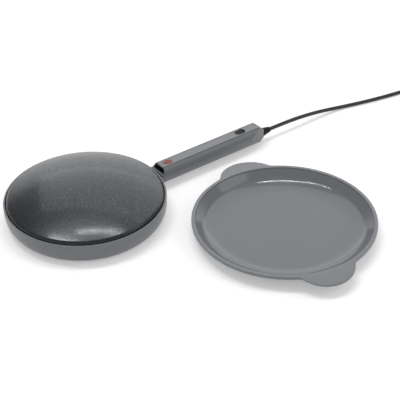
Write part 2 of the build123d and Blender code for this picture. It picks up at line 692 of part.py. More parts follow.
def cord_cradle():
    """Return the rib under the cord with its two screw posts."""
    x_low = CLAMP_X - CLAMP_LENGTH / 2
    x_high = CLAMP_X + CLAMP_LENGTH / 2
    top = CORD_Z + CORD_D / 2
    rib = handle_bar(HANDLE_WALL - 0.4, x_low, x_high) & plan_outline(HANDLE_WALL - 0.4)
    rib &= block(x_low, x_high, HANDLE_R, HANDLE_BOTTOM_Z, top)
    rib -= lengthwise(CORD_D / 2 + FIT, x_low - 1, x_high + 1, 0, CORD_Z)
    rib -= block(x_low - 1, x_high + 1, CORD_D / 2 + FIT, CORD_Z, top + 1)
    for y in (-CLAMP_SCREW_Y, CLAMP_SCREW_Y):
        rib -= upright(SMALL_SCREW_D / 2 + FIT, top - CLAMP_SCREW_LENGTH, top + 1, CLAMP_X, y)
    return rib


def cover_openings():
    """Return the cuts in the cover for the lens, the pinhole and the rocker."""
    cuts = oval_column(LENS_LENGTH + 2 * FIT, LENS_WIDTH + 2 * FIT, COVER_UNDER_Z - 1, HANDLE_TOP + 1, LENS_X)
    cuts += upright(PINHOLE_R, HANDLE_TOP - 0.7, HANDLE_TOP + 1, PINHOLE_X, PINHOLE_Y)
    length = ROCKER_LENGTH + 2 * ROCKER_END_GAP
    width = ROCKER_WIDTH + 2 * ROCKER_SIDE_GAP
    return cuts + slot_column(length, width, COVER_UNDER_Z - 1, HANDLE_TOP + 1, SWITCH_X)


def handle_cover():
    strip = handle_envelope(0) & block(0, HANDLE_TOP_END_X - SEAM, COVER_HALF, COVER_UNDER_Z, HANDLE_TOP)
    hook_x = HANDLE_TOP_END_X - SEAM
    strip += block(hook_x - 4, hook_x, HOOK_HALF, COVER_LEDGE_Z, COVER_UNDER_Z + 0.5)
    for x in COVER_SCREW_X:
        strip += upright(PILLAR_R, PILLAR_TOP_Z, COVER_UNDER_Z, x)
    rib_x = BLOCK_X + BLOCK_LENGTH / 2
    strip += block(rib_x - 1, rib_x + 1, HOOK_HALF, BLOCK_BOTTOM_Z + BLOCK_HEIGHT, COVER_UNDER_Z)
    for x in COVER_SCREW_X:
        strip -= upright(SMALL_SCREW_D / 2 + FIT, 0, HANDLE_SCREW_SEAT_Z + COVER_SCREW_LENGTH + 1, x)
    return strip - cover_openings()


def cover_screws():
    piece = screw(SMALL_SCREW_D, COVER_SCREW_LENGTH, SMALL_SCREW_D * 1.8, 1.2)
    return group([Pos(x, 0, HANDLE_SCREW_SEAT_Z) * piece for x in COVER_SCREW_X])


def neck_screws():
    piece = screw(SMALL_SCREW_D, SMALL_SCREW_LENGTH, SMALL_SCREW_D * 1.8, 1.2)
    return group([Pos(x, 0, HANDLE_SCREW_SEAT_Z) * piece for x in NECK_SCREW_X])


def pilot_lens():
    window = oval_column(LENS_LENGTH, LENS_WIDTH, COVER_UNDER_Z, HANDLE_TOP + 0.4, LENS_X)
    window = fillet(window.faces().sort_by(Axis.Z)[-1].edges(), 0.35)
    flange_length = LENS_LENGTH + 2 * LENS_FLANGE
    flange_width = LENS_WIDTH + 2 * LENS_FLANGE
    flange_z = COVER_UNDER_Z - LENS_FLANGE_THICK
    return window + oval_column(flange_length, flange_width, flange_z, COVER_UNDER_Z, LENS_X)


def lamp_place():
    """Return the lamp's axis height and its first and last stations."""
    z = COVER_UNDER_Z - LENS_FLANGE_THICK - SEAM - LAMP_D / 2
    return z, LENS_X - LAMP_LENGTH / 2, LENS_X + LAMP_LENGTH / 2


def pilot_lamp():
    z, x_low, x_high = lamp_place()
    glass = lengthwise(LAMP_D / 2, x_low + LAMP_D / 2, x_high, 0, z)
    return glass + Pos(x_low + LAMP_D / 2, 0, z) * Sphere(LAMP_D / 2)


def lamp_holder():
    """Return the cup that holds the lamp's base, seated on the neck's tongue."""
    z, _, x_high = lamp_place()
    back = x_high + LAMP_HOLDER
    cup = block(x_high - 2, back, LAMP_D / 2 + 1.2, NECK_TOP_Z, z + LAMP_D / 2 + SEAM / 2)
    return cup - lengthwise(LAMP_D / 2 + FIT, x_high - 3, x_high, 0, z)


# ---- Switch and terminals -------------------------------------------------------------------
def rocker_cavity(z_low, z_high):
    """Return the space inside the switch body that the rocker swings in."""
    half_length = ROCKER_LENGTH / 2 + ROCKER_END_GAP
    half_width = ROCKER_WIDTH / 2 + ROCKER_SIDE_GAP
    return block(SWITCH_X - half_length, SWITCH_X + half_length, half_width, z_low, z_high)


def switch_body():
    body = switch_room(0) - rocker_cavity(ROCKER_BOTTOM_Z - 1.5, COVER_UNDER_Z + 1)
    return body - rocker_axle(PIN_R + FIT)


def rocker_axle(radius):
    half = ROCKER_WIDTH / 2 + ROCKER_SIDE_GAP + SWITCH_WALL
    return Pos(SWITCH_X, 0, PIN_Z) * Rot(90, 0, 0) * Cylinder(radius, 2 * half)


def rocker_pin():
    return rocker_axle(PIN_R)


def switch_rocker():
    """Return the rocker, tipped about its pin to the off side."""
    button = slot_column(ROCKER_LENGTH, ROCKER_WIDTH, ROCKER_BOTTOM_Z, ROCKER_TOP_Z, SWITCH_X)
    dish_r = 40.0
    button -= Pos(SWITCH_X, 0, ROCKER_TOP_Z - 0.6 + dish_r) * Rot(90, 0, 0) * Cylinder(dish_r, 2 * ROCKER_WIDTH)
    button -= Pos(SWITCH_X, 0, PIN_Z) * Rot(90, 0, 0) * Cylinder(PIN_R + RUNNING_FIT, 2 * ROCKER_WIDTH)
    return button.rotate(Axis((SWITCH_X, 0, PIN_Z), (0, 1, 0)), -ROCKER_TILT)


def switch_tabs():
    z_low = SWITCH_BOTTOM_Z - SWITCH_TAB_LENGTH
    return group([block(x - TAB_THICK / 2, x + TAB_THICK / 2, TAB_WIDTH / 2, z_low, SWITCH_BOTTOM_Z)
                  for x in (SWITCH_X - SWITCH_TAB_X, SWITCH_X + SWITCH_TAB_X)])


def pole_screw_places():
    stations = (BLOCK_X + 4.5, BLOCK_X + BLOCK_LENGTH - 4.5)
    return [(x, y) for x in stations for y in (-POLE_Y, POLE_Y)]


def terminal_block():
    top = BLOCK_BOTTOM_Z + BLOCK_HEIGHT
    body = block(BLOCK_X, BLOCK_X + BLOCK_LENGTH, BLOCK_WIDTH / 2, BLOCK_BOTTOM_Z, top)
    body -= block(BLOCK_X + 7.5, BLOCK_X + BLOCK_LENGTH - 7.5, 1.2, BLOCK_BOTTOM_Z + 4, top - 1.5)
    for y in (-POLE_Y, POLE_Y):
        body -= lengthwise(POLE_BORE_R, BLOCK_X - 1, BLOCK_X + 7, y, POLE_Z)
        body -= lengthwise(POLE_BORE_R, BLOCK_X + BLOCK_LENGTH - 7, BLOCK_X + BLOCK_LENGTH + 1, y, POLE_Z)
    for x, y in pole_screw_places():
        body -= upright(POLE_SCREW_D / 2 + FIT, POLE_Z, top + 1, x, y)
    return body


def pole_screws():
    low = POLE_Z + WIRE_D / 2 + FIT
    return group([upright(POLE_SCREW_D / 2, low, BLOCK_BOTTOM_Z + BLOCK_HEIGHT - 0.5, x, y)
                  for x, y in pole_screw_places()])


def cord_clamp():
    low = CORD_Z + CORD_D / 2
    bar = block(CLAMP_X - CLAMP_LENGTH / 2 + 0.5, CLAMP_X + CLAMP_LENGTH / 2 - 0.5, CLAMP_SCREW_Y + 2.6,
                low, low + CLAMP_BAR)
    for y in (-CLAMP_SCREW_Y, CLAMP_SCREW_Y):
        bar -= upright(SMALL_SCREW_D / 2 + SEAM / 2, low, low + CLAMP_BAR, CLAMP_X, y)
    return bar


def clamp_screws():
    seat = CORD_Z + CORD_D / 2 + CLAMP_BAR
    piece = Rot(180, 0, 0) * screw(SMALL_SCREW_D, CLAMP_SCREW_LENGTH, SMALL_SCREW_D * 1.6, 1.6)
    return group([Pos(CLAMP_X, y, seat) * piece for y in (-CLAMP_SCREW_Y, CLAMP_SCREW_Y)])


# ---- Wiring ---------------------------------------------------------------------------------
def pin_foot(index):
    """Return the point under one of the element's pins where its lead ends."""
    x, y = element_leg_points()[index]
    return x, y, ELEMENT_PIN_END_Z


def cord_inner():
    """Return the cord inside the boot and handle, up to where its jacket is stripped."""
    return lengthwise(CORD_D / 2, CORD_JACKET_END_X, BOOT_TIP_X, 0, CORD_Z)


def block_bores():
    """Return the stations at which wires end in the front and rear of the terminal block."""
    return BLOCK_X + 4.5, BLOCK_X + BLOCK_LENGTH - 4.5


def switch_tab_faces():
    """Return the stations of the two faces where the wires meet the switch tabs."""
    reach = SWITCH_TAB_X + TAB_THICK / 2
    return SWITCH_X - reach, SWITCH_X + reach


def cord_cores():
    """Return the live core to the switch and the neutral core to the terminal block."""
    _, rear = block_bores()
    _, tab = switch_tab_faces()
    live = lengthwise(WIRE_D / 2, tab, CORD_JACKET_END_X, CORE_SIDE, CORD_Z)
    start = CORD_JACKET_END_X
    low_z = CORD_Z - 2.4
    points = [(start, -CORE_SIDE, CORD_Z), (start - 1.6, -CORE_SIDE, CORD_Z), (tab - 0.6, -LANE_Y, low_z),
              (tab - 12, -LANE_Y - 0.2, low_z - 0.3), (rear + 36, -LANE_Y - 0.3, low_z + 0.8),
              (rear + 20, -LANE_Y, POLE_Z - 2.2), (rear + 10, -POLE_Y - 0.3, POLE_Z - 0.1),
              (rear, -POLE_Y, POLE_Z)]
    return group([live, wire(points, 2.0)])


def switched_lead():
    """Return the wire from the switch back to the terminal block."""
    _, rear = block_bores()
    tab, _ = switch_tab_faces()
    points = [(tab, CORE_SIDE, CORD_Z), (tab - 6, CORE_SIDE, CORD_Z), (tab - 21, LANE_Y, CORD_Z + 2.2),
              (rear + 19, LANE_Y + 0.3, POLE_Z - 0.8), (rear + 10, POLE_Y + 0.3, POLE_Z - 0.1),
              (rear, POLE_Y, POLE_Z)]
    return wire(points, 2.0)


def head_lead(side, inside):
    """Return a lead from the terminal block through the neck, then along points in the head."""
    front, _ = block_bores()
    z = CHANNEL_BOTTOM_Z + CHANNEL_HEIGHT / 2
    neck_y = CHANNEL_WIDTH / 4
    points = [(front, side * POLE_Y, POLE_Z), (front - 8.5, side * (POLE_Y + 0.4), POLE_Z - 0.3),
              (front - 16.5, side * (LANE_Y + 0.3), POLE_Z - 2.4), (TONGUE_END_X + 2, side * 3.4, z + 0.1),
              (TONGUE_END_X - 4, side * neck_y, z), (HOUSING_INNER_R - 6.3, side * neck_y, z - 0.1)]
    return wire(points + inside, 2.0)


def live_lead():
    tab = THERMOSTAT_Z - THERMOSTAT_BODY - TAB_LENGTH
    low_z = HOUSING_FLOOR_Z + 6
    first = (HOUSING_INNER_R - 24.3, 1.0, low_z + 0.3)
    return head_lead(1, [first, (TAB_X + 17.5, 0.5, low_z - 0.1), (TAB_X, 0, low_z + 1.3), (TAB_X, 0, tab)])


def neutral_lead():
    x, y, z = pin_foot(1)
    return head_lead(-1, [(x + 16.6, y / 2, HOUSING_FLOOR_Z + 5.9), (x, y, z - 5.5), (x, y, z)])


def fuse_lead():
    """Return the wire from the thermostat to the thermal fuse."""
    tab = THERMOSTAT_Z - THERMOSTAT_BODY - TAB_LENGTH
    z = FUSE_PAD_Z - FUSE_D / 2 - FIT
    lead_y = FUSE_LENGTH
    points = [(-TAB_X, 0, tab), (-TAB_X, 0, SHIELD_TOP + 2.5), (FUSE_X / 2, lead_y, SHIELD_TOP + 4),
              (FUSE_X, lead_y + 4, z - 6), (FUSE_X, lead_y, z), (FUSE_X, FUSE_LENGTH / 2, z)]
    return wire(points, 1.5)


def element_lead():
    """Return the wire from the thermal fuse to the element's live pin."""
    x, y, end_z = pin_foot(0)
    z = FUSE_PAD_Z - FUSE_D / 2 - FIT
    through_x = SHIELD_CENTRE_HOLE_R * 0.45
    through_y = SHIELD_CENTRE_HOLE_R * 0.64
    low_z = HOUSING_FLOOR_Z + 2.5
    points = [(FUSE_X, -FUSE_LENGTH / 2, z), (FUSE_X, -FUSE_LENGTH, z), (FUSE_X + 10, -FUSE_LENGTH - 5, z - 10),
              (-through_x, -through_y, SHIELD_TOP - 3), (through_x, -through_y / 2, low_z + 0.2),
              (x - 23.4, y - 2.2, low_z - 0.2), (x, y, end_z - 6.5), (x, y, end_z)]
    return wire(points, 1.5)


def lamp_leads():
    """Return the pair of wires from the terminal block to the pilot lamp's holder."""
    z, _, x_high = lamp_place()
    back = x_high + LAMP_HOLDER
    end_z = POLE_Z + 3.0
    end_y = POLE_Y + 1.8
    leads = []
    for side in (-1, 1):
        points = [(back, side * 1.4, z), (back + 4, side * 1.4, z), (back + 12, side * 3.2, z - 0.6),
                  (BLOCK_X - 14, side * LANE_Y, z - 1.6), (BLOCK_X - 4, side * end_y, end_z),
                  (BLOCK_X, side * end_y, end_z)]
        leads.append(wire(points, 1.5, 1.4))
    return group(leads)


# ---- Cord -----------------------------------------------------------------------------------
def strain_relief():
    """Return the ribbed boot with its sleeve and flange inside the handle."""
    inner_x = BOOT_TIP_X - BOOT_LENGTH
    wall_in = HANDLE_END_X - HANDLE_WALL
    boot_length = BOOT_TIP_X - HANDLE_END_X
    cone = Rot(0, 90, 0) * Cone(BOOT_ROOT_R, BOOT_TIP_R, boot_length)
    cone = Pos(HANDLE_END_X + boot_length / 2, 0, CORD_Z) * cone
    body = cone + lengthwise(BOOT_NECK_R, inner_x, HANDLE_END_X, 0, CORD_Z)
    body += lengthwise(BOOT_NECK_R + BOOT_FLANGE, wall_in - BOOT_FLANGE_THICK, wall_in, 0, CORD_Z)
    x = HANDLE_END_X + BOOT_RIB
    while x + BOOT_GROOVE < BOOT_TIP_X - 1:
        radius = BOOT_ROOT_R + (BOOT_TIP_R - BOOT_ROOT_R) * (x - HANDLE_END_X) / boot_length
        groove = lengthwise(BOOT_ROOT_R + 1, x, x + BOOT_GROOVE, 0, CORD_Z)
        body -= groove - lengthwise(radius - BOOT_GROOVE_DEPTH, x, x + BOOT_GROOVE, 0, CORD_Z)
        x += BOOT_RIB + BOOT_GROOVE
    return body - lengthwise(BOOT_BORE_R, inner_x - 1, BOOT_TIP_X + 1, 0, CORD_Z)


def bend_radii(points):
    """Return the largest arc radius that each corner's two runs leave room for."""
    radii = []
    for before, corner, after in zip(points, points[1:], points[2:]):
        first = Vector(*corner) - Vector(*before)
        second = Vector(*after) - Vector(*corner)
        half_turn = math.radians(first.get_angle(second)) / 2
        radii.append(0.45 * min(first.length, second.length) / math.tan(half_turn))
    return radii


def cord():
    radii = bend_radii(CORD_ROUTE)
    path = FilletPolyline(*CORD_ROUTE, radius=radii)
    tube = sweep(Plane(origin=path @ 0, z_dir=path % 0) * Circle(CORD_D / 2), path=path)
    print("cord bend radii", [round(r) for r in radii], "length", round(path.length, 1))
    print("cord volume", round(tube.volume), "expected", round(path.length * math.pi * CORD_D**2 / 4))
    return tube


def coil_ring(r_in, r_out, z_low, z_high):
    edge = CORD_D * 0.4
    body = ring(r_out, r_in, z_low, z_high)
    return fillet(body.edges().filter_by(GeomType.CIRCLE), edge)


def cord_coil():
    """Return the coil's outer form: two turns side by side and half a turn on top."""
    lower = coil_ring(COIL_MEAN_R - CORD_D, COIL_MEAN_R + CORD_D, COIL_BASE_Z, COIL_BASE_Z + CORD_D)
    lower += ring(COIL_TOP_R, COIL_MEAN_R, COIL_BASE_Z + CORD_D / 2, COIL_BASE_Z + CORD_D + 1) & block(
        0.5, 2 * COIL_MEAN_R, 2 * COIL_MEAN_R, 0, 4 * CORD_D)
    upper = coil_ring(COIL_TOP_R - CORD_D / 2, COIL_TOP_R + CORD_D / 2, COIL_BASE_Z + CORD_D,
                      COIL_BASE_Z + 2 * CORD_D)
    upper &= block(0, 2 * COIL_MEAN_R, 2 * COIL_MEAN_R, 0, 4 * CORD_D)
    return Pos(*COIL_CENTRE, 0) * (lower + upper)


def cord_tie():
    """Return the band round the coil's turns on its far side."""
    gap = 0.1
    z_high = COIL_BASE_Z + 2 * CORD_D + gap
    x_low = math.sqrt((COIL_MEAN_R - CORD_D) ** 2 - (TIE_WIDTH / 2) ** 2) - gap
    x_high = COIL_MEAN_R + CORD_D + gap
    outer = block(x_low - TIE_THICK, x_high + TIE_THICK, TIE_WIDTH / 2, 0, z_high + TIE_THICK)
    outer = fillet(outer.edges().filter_by(Axis.Y), 1.0)
    room = block(x_low, x_high, TIE_WIDTH, COIL_BASE_Z - FIT, z_high)
    return Pos(*COIL_CENTRE, 0) * (outer - room)


def tail_point(index):
    """Return a point of the cord's tail, from the end of the coil's top turn to the plug."""
    x, y, z = CORD_TAIL[index]
    return COIL_CENTRE[0] + x, COIL_CENTRE[1] - COIL_TOP_R + y, z


def cord_tail():
    points = [tail_point(index) for index in range(len(CORD_TAIL))]
    path = FilletPolyline(*points, radius=bend_radii(points))
    return sweep(Plane(origin=path @ 0, z_dir=path % 0) * Circle(CORD_D / 2), path=path)


def plug_section(distance, width, height):
    """Return one round-ended section of the plug, at a distance in front of its rear."""
    place = Plane(origin=(-distance, 0, 0), x_dir=(0, 1, 0), z_dir=(-1, 0, 0))
    return place * SlotOverall(width, height)


def plug_body():
    """Return the flat two-pin plug with its nose round the cord."""
    shell = loft([
        plug_section(PLUG_NOSE, CORD_D * 3.0, CORD_D * 1.7),
        plug_section(PLUG_LENGTH * 0.62, PLUG_WIDTH, PLUG_HEIGHT * 0.92),
        plug_section(PLUG_LENGTH, PLUG_FACE_WIDTH, PLUG_HEIGHT),
    ], ruled=True)
    return Pos(*tail_point(-1)) * (shell + lengthwise(CORD_D * 0.8, -PLUG_NOSE - 2, 0))


def plug_pins():
    x, y, z = tail_point(-1)
    pins = []
    for side in (-0.5, 0.5):
        pin = lengthwise(PLUG_PIN_D / 2, -PLUG_PIN_LENGTH, 0)
        pin = chamfer(pin.faces().sort_by(Axis.X)[0].edges(), PLUG_PIN_D * 0.2)
        pins.append(Pos(x - PLUG_LENGTH, y + side * PIN_SPACING, z) * pin)
    return group(pins)


# ---- Batter dish ----------------------------------------------------------------------------
def bowl(depth, top):
    """Return the dish's filled form at a wall's depth: floor, bend, slope and a short steep edge."""
    slope = math.radians(DISH_SLOPE)
    bend_z = DISH_FLOOR_Z + DISH_BEND_R * (1 - math.cos(slope))
    slope_run = (DISH_TOP - DISH_STEP - bend_z) / math.tan(slope)
    floor_r = DISH_MOUTH_R - slope_run - DISH_BEND_R * math.sin(slope)
    floor = DISH_FLOOR_Z - depth
    bend = DISH_BEND_R + depth
    start = (floor_r, floor)
    middle = (floor_r + bend * math.sin(slope / 2), floor + bend * (1 - math.cos(slope / 2)))
    end = (floor_r + bend * math.sin(slope), floor + bend * (1 - math.cos(slope)))
    edge_r = DISH_MOUTH_R + depth
    step = (edge_r, end[1] + (edge_r - end[0]) * math.tan(slope))
    return turned(
        Line((0, floor), start),
        ThreePointArc(start, middle, end),
        Line(end, step),
        Line(step, (edge_r, top)),
        Line((edge_r, top), (0, top)),
        Line((0, top), (0, floor)),
    )


def ear_outline():
    """Return the lip's circle with its two ears and their rounded inner corners."""
    outline = Circle(DISH_R - 0.6)
    for angle in EAR_ANGLES:
        outline += Pos(*polar(EAR_CENTRE_R, angle)) * Circle(EAR_R)
    corners = [v for v in outline.vertices() if abs(math.hypot(v.X, v.Y) - DISH_R + 0.6) < 0.01]
    return fillet(corners, EAR_FILLET)


def batter_dish():
    lip = upright(DISH_R, DISH_TOP - DISH_LIP_THICK, DISH_TOP)
    lip = fillet(lip.edges().group_by(Axis.Z)[-1], DISH_LIP_THICK * 0.3)
    ears = Pos(0, 0, EAR_TOP_Z - EAR_THICK) * extrude(ear_outline(), EAR_THICK)
    ears = fillet(ears.edges().group_by(Axis.Z)[-1] + ears.edges().group_by(Axis.Z)[0], EAR_THICK * 0.35)
    body = bowl(DISH_WALL, DISH_TOP) + lip + ears - bowl(0, DISH_TOP + 0.01)
    mouth = body.edges().filter_by(GeomType.CIRCLE).group_by(Axis.Z)[-1].sort_by(SortBy.RADIUS)[0]
    body = fillet(mouth, DISH_MOUTH_ROUND)
    foot = ring(DISH_FOOT_R + DISH_FOOT_WIDTH, DISH_FOOT_R, 0, DISH_FLOOR_Z - DISH_WALL + 0.4)
    return Pos(*DISH_CENTRE, 0) * (body + foot)


PIECES = [
    base_housing, heating_plate, plate_gasket, heating_element, element_pins, heat_shield, plate_screws,
    thermostat, thermostat_tabs, thermostat_screws, thermal_fuse, fuse_clip, fuse_clip_screw, rubber_feet,
    handle_body, mouth_insert, handle_cover, cover_screws, neck_screws, pilot_lens, pilot_lamp, lamp_holder,
    switch_body, rocker_pin, switch_rocker, switch_tabs, terminal_block, pole_screws, cord_clamp, clamp_screws,
    cord_inner, cord_cores, switched_lead, live_lead, neutral_lead, fuse_lead, element_lead, lamp_leads,
    strain_relief, cord, cord_coil, cord_tail, cord_tie, plug_body, plug_pins, batter_dish,
]

os.makedirs("parts", exist_ok=True)
for make in PIECES:
    export_step(make(), f"parts/{make.__name__}.step")
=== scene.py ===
import json
import math

import bmesh
import bpy
from mathutils import Matrix, Vector

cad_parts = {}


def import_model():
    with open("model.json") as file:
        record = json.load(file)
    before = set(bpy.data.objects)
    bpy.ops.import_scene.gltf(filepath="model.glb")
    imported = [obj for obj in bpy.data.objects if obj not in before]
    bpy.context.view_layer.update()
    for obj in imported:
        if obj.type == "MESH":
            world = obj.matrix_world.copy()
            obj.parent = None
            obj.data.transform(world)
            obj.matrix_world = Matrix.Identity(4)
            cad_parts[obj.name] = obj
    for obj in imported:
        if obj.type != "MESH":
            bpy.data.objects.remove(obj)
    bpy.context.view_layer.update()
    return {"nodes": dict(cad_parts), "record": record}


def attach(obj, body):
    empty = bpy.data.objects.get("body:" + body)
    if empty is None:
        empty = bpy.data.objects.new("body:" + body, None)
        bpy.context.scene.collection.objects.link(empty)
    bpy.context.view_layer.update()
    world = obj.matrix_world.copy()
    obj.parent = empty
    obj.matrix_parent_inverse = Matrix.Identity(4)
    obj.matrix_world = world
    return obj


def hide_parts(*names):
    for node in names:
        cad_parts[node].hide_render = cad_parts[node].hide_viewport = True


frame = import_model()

MM = 0.001

# ---- Camera -------------------------------------------------------------------------------------
IMAGE_WIDTH_PX = 400
FOCAL_PX = 1062.2
SENSOR_WIDTH = 36.0
CAMERA_PLACE = Vector((-0.5222, -0.9641, 0.8071))
CAMERA_TARGET = Vector((0.13398, -0.06098, 0.0))
CAMERA_ROLL = math.radians(-0.872)


def camera():
    """Place the camera above and in front of the head, rolled slightly."""
    data = bpy.data.cameras.new("camera")
    data.sensor_width = SENSOR_WIDTH
    data.lens = FOCAL_PX / IMAGE_WIDTH_PX * SENSOR_WIDTH
    data.clip_start = 0.05
    data.clip_end = 50.0
    view = (CAMERA_TARGET - CAMERA_PLACE).normalized()
    level = view.cross(Vector((0, 0, 1))).normalized()
    upward = level.cross(view)
    right = level * math.cos(CAMERA_ROLL) + upward * math.sin(CAMERA_ROLL)
    top = upward * math.cos(CAMERA_ROLL) - level * math.sin(CAMERA_ROLL)
    turn = Matrix((right, top, -view)).transposed().to_4x4()
    holder = bpy.data.objects.new("camera", data)
    holder.matrix_world = Matrix.Translation(CAMERA_PLACE) @ turn
    bpy.context.collection.objects.link(holder)
    bpy.context.scene.camera = holder


# ---- Shader values ------------------------------------------------------------------------------
MIX_COLOUR_OUTPUT = 2


def socket_key(word):
    """Return a socket's number from i0, i1 and so on, or its name from words joined by underscores."""
    return int(word[1:]) if word[1:].isdigit() else word.replace("_", " ")


class Value:
    """One socket of a material; arithmetic on it adds Math nodes."""

    def __init__(self, tree, socket=None):
        self.tree = tree
        self.socket = socket

    def node(self, kind, settings=None, output=0, **inputs):
        """Add a node with its settings and its sockets' values or links, and return one output."""
        made = self.tree.nodes.new("ShaderNode" + kind)
        for name, setting in (settings or {}).items():
            setattr(made, name, setting)
        for word, value in inputs.items():
            socket = made.inputs[socket_key(word)]
            if isinstance(value, Value):
                self.tree.links.new(value.socket, socket)
            else:
                socket.default_value = value
        return Value(self.tree, made.outputs[output])

    def math(self, operation, first, second):
        """Add a Math node that works on two values."""
        return self.node("Math", {"operation": operation}, i0=first, i1=second)

    def __add__(self, other):
        return self.math("ADD", self, other)

    __radd__ = __add__

    def __sub__(self, other):
        return self.math("SUBTRACT", self, other)

    def __rsub__(self, other):
        return self.math("SUBTRACT", other, self)

    def __mul__(self, other):
        return self.math("MULTIPLY", self, other)

    __rmul__ = __mul__

    def smooth(self, low, high, to_low=0.0, to_high=1.0):
        """Map a range of this value smoothly on to another range."""
        return self.node("MapRange", {"interpolation_type": "SMOOTHSTEP"}, i0=self, i1=low, i2=high,
                         i3=to_low, i4=to_high)

    def mix(self, first, second):
        """Blend two colours, or a colour and a link, with this value as the share of the second."""
        return self.node("Mix", {"data_type": "RGBA"}, output=MIX_COLOUR_OUTPUT,
                         i0=self, i6=first, i7=second)

    def noise(self, scale, detail, roughness):
        """Return smooth noise read at this position, a scale in features per metre."""
        return self.node("TexNoise", Vector=self, Scale=scale, Detail=detail, Roughness=roughness)


def finish_of(name, build, **constants):
    """Make a material: constants go on the shader, build returns what varies over the surface."""
    material = bpy.data.materials.new(name)
    material.use_nodes = True
    tree = material.node_tree
    shader = tree.nodes["Principled BSDF"]
    for word, value in constants.items():
        shader.inputs[socket_key(word)].default_value = value
    place = Value(tree).node("TexCoord", output="Object")
    for word, value in build(place).items():
        tree.links.new(value.socket, shader.inputs[socket_key(word)])
    return material


def grey(level, tint=(1.0, 1.0, 1.0)):
    """Return a linear colour from one linear level and a slight tint."""
    return (level * tint[0], level * tint[1], level * tint[2], 1.0)


def shaded(colour, share):
    """Return an opaque colour darkened to a share of its strength."""
    return tuple(c * share for c in colour) + (1.0,)


def bumped(height, strength, distance):
    """Return a normal bent by a height value."""
    return height.node("Bump", Height=height, Strength=strength, Distance=distance)


def rays(tree):
    """Return whether the camera sees a point directly, and whether a reflection does."""
    return [Value(tree).node("LightPath", output=f"Is {kind} Ray") for kind in ("Camera", "Glossy")]


# ---- Cord ---------------------------------------------------------------------------------------
CORD_DIAMETER = 5.4 * MM
COIL_CENTRE = (585.0, -62.7)
COIL_INNER_R = 27.2
COIL_OUTER_R = 32.7
COIL_LOW_Z = 3.3
COIL_HIGH_Z = 8.7
COIL_TURNS = 2.5
COIL_TURN_POINTS = 16
# Where the coil moves inwards, outwards and up: the first turn of each move, and its length in turns.
COIL_INWARDS = (0.85, 0.3)
COIL_OUTWARDS = (1.75, 0.25)
COIL_UPWARDS = (1.72, 0.26)
CORD_LEAD = [
    (299.5, 0.0, 14.5),
    (324.0, 0.0, 14.5),
    (358.0, -0.5, 13.3),
    (394.0, -0.3, 8.8),
    (432.0, -2.2, 2.72),
    (464.0, -11.0, 2.74),
    (497.0, -18.6, 2.72),
    (533.0, -25.0, 2.74),
    (562.0, -29.0, 2.72),
]
CORD_TAIL = [(576.0, -95.4, 8.7), (566.0, -95.2, 7.4), (557.0, -95.4, 6.8)]


def around(centre, radius, turn):
    """Return the point at a radius and an angle in radians round a centre."""
    return centre[0] + radius * math.cos(turn), centre[1] + radius * math.sin(turn)


def part_done(value, start, length):
    """Return how much of a stretch a value has passed, from 0 before it to 1 after it."""
    return min(max((value - start) / length, 0.0), 1.0)


def coil_points():
    """Return the coil's turns: the outer turn, the inner one, then half a turn on top."""
    points = []
    for step in range(int(COIL_TURNS * COIL_TURN_POINTS) + 1):
        turns = step / COIL_TURN_POINTS
        inwards = part_done(turns, *COIL_INWARDS) - part_done(turns, *COIL_OUTWARDS)
        radius = COIL_OUTER_R + (COIL_INNER_R - COIL_OUTER_R) * inwards
        height = COIL_LOW_Z + (COIL_HIGH_Z - COIL_LOW_Z) * part_done(turns, *COIL_UPWARDS)
        points.append((*around(COIL_CENTRE, radius, math.pi / 2 - 2 * math.pi * turns), height))
    return points


def mains_cord():
    """Draw the free cord as one smooth curve: the lead on the table, the coil and the plug's tail."""
    route = CORD_LEAD + coil_points() + CORD_TAIL
    data = bpy.data.curves.new("mains_cord", "CURVE")
    data.dimensions = "3D"
    data.bevel_depth = 1.0
    data.bevel_resolution = 6
    data.resolution_u = 10
    line = data.splines.new("NURBS")
    line.points.add(len(route) - 1)
    for point, place in zip(line.points, route):
        point.co = (*(c * MM for c in place), 1.0)
        point.radius = CORD_DIAMETER / 2
    line.order_u = 3
    line.use_endpoint_u = True
    piece = bpy.data.objects.new("mains_cord", data)
    bpy.context.collection.objects.link(piece)
    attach(piece, "root")
    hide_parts("cord", "cord_coil", "cord_tail")
    return piece


# ---- Finishes -----------------------------------------------------------------------------------
COOL = (0.95, 0.99, 1.06)
CLEAR_BLUE = (0.85, 0.93, 1.0, 1.0)
RED_DEEP = (0.24, 0.045, 0.04, 1.0)
RED_PALE = (0.32, 0.07, 0.06, 1.0)


def moulded_plastic(name, level, roughness, grain=0.05):
    """Return satin moulded plastic with faint flow clouds and a fine spark-eroded grain."""
    def build(place):
        clouds = place.noise(scale=22.0, detail=3.0, roughness=0.55)
        fine = place.noise(scale=2600.0, detail=2.0, roughness=0.6)
        tone = clouds * 0.5 + fine.smooth(0.42, 0.60) * 0.5
        return {
            "Base_Color": tone.mix(grey(level * 0.93, COOL), grey(level * 1.07, COOL)),
            "Roughness": clouds * 0.08 + (roughness - 0.04),
            "Normal": bumped(fine, strength=grain, distance=0.0004),
        }
    return finish_of(name, build, IOR=1.48)


def nonstick():
    """Return the plate's non-stick coating: near black, with a fine raised grain that glints."""
    def build(place):
        grain = place.noise(scale=560.0, detail=3.0, roughness=0.62)
        patch = place.noise(scale=34.0, detail=3.0, roughness=0.5)
        fleck = grain.smooth(0.50, 0.70)
        base = patch.mix(grey(0.022, COOL), grey(0.030, COOL))
        return {
            "Base_Color": (fleck * 0.6).mix(base, grey(0.10, COOL)),
            "Roughness": patch * 0.05 + 0.30,
            "Coat_Weight": fleck * 0.8 + 0.25,
            "Normal": bumped(grain, strength=0.20, distance=0.0009),
        }
    return finish_of("nonstick_coating", build, IOR=1.52, Specular_Tint=CLEAR_BLUE,
                     Coat_Roughness=0.13, Coat_IOR=1.55)


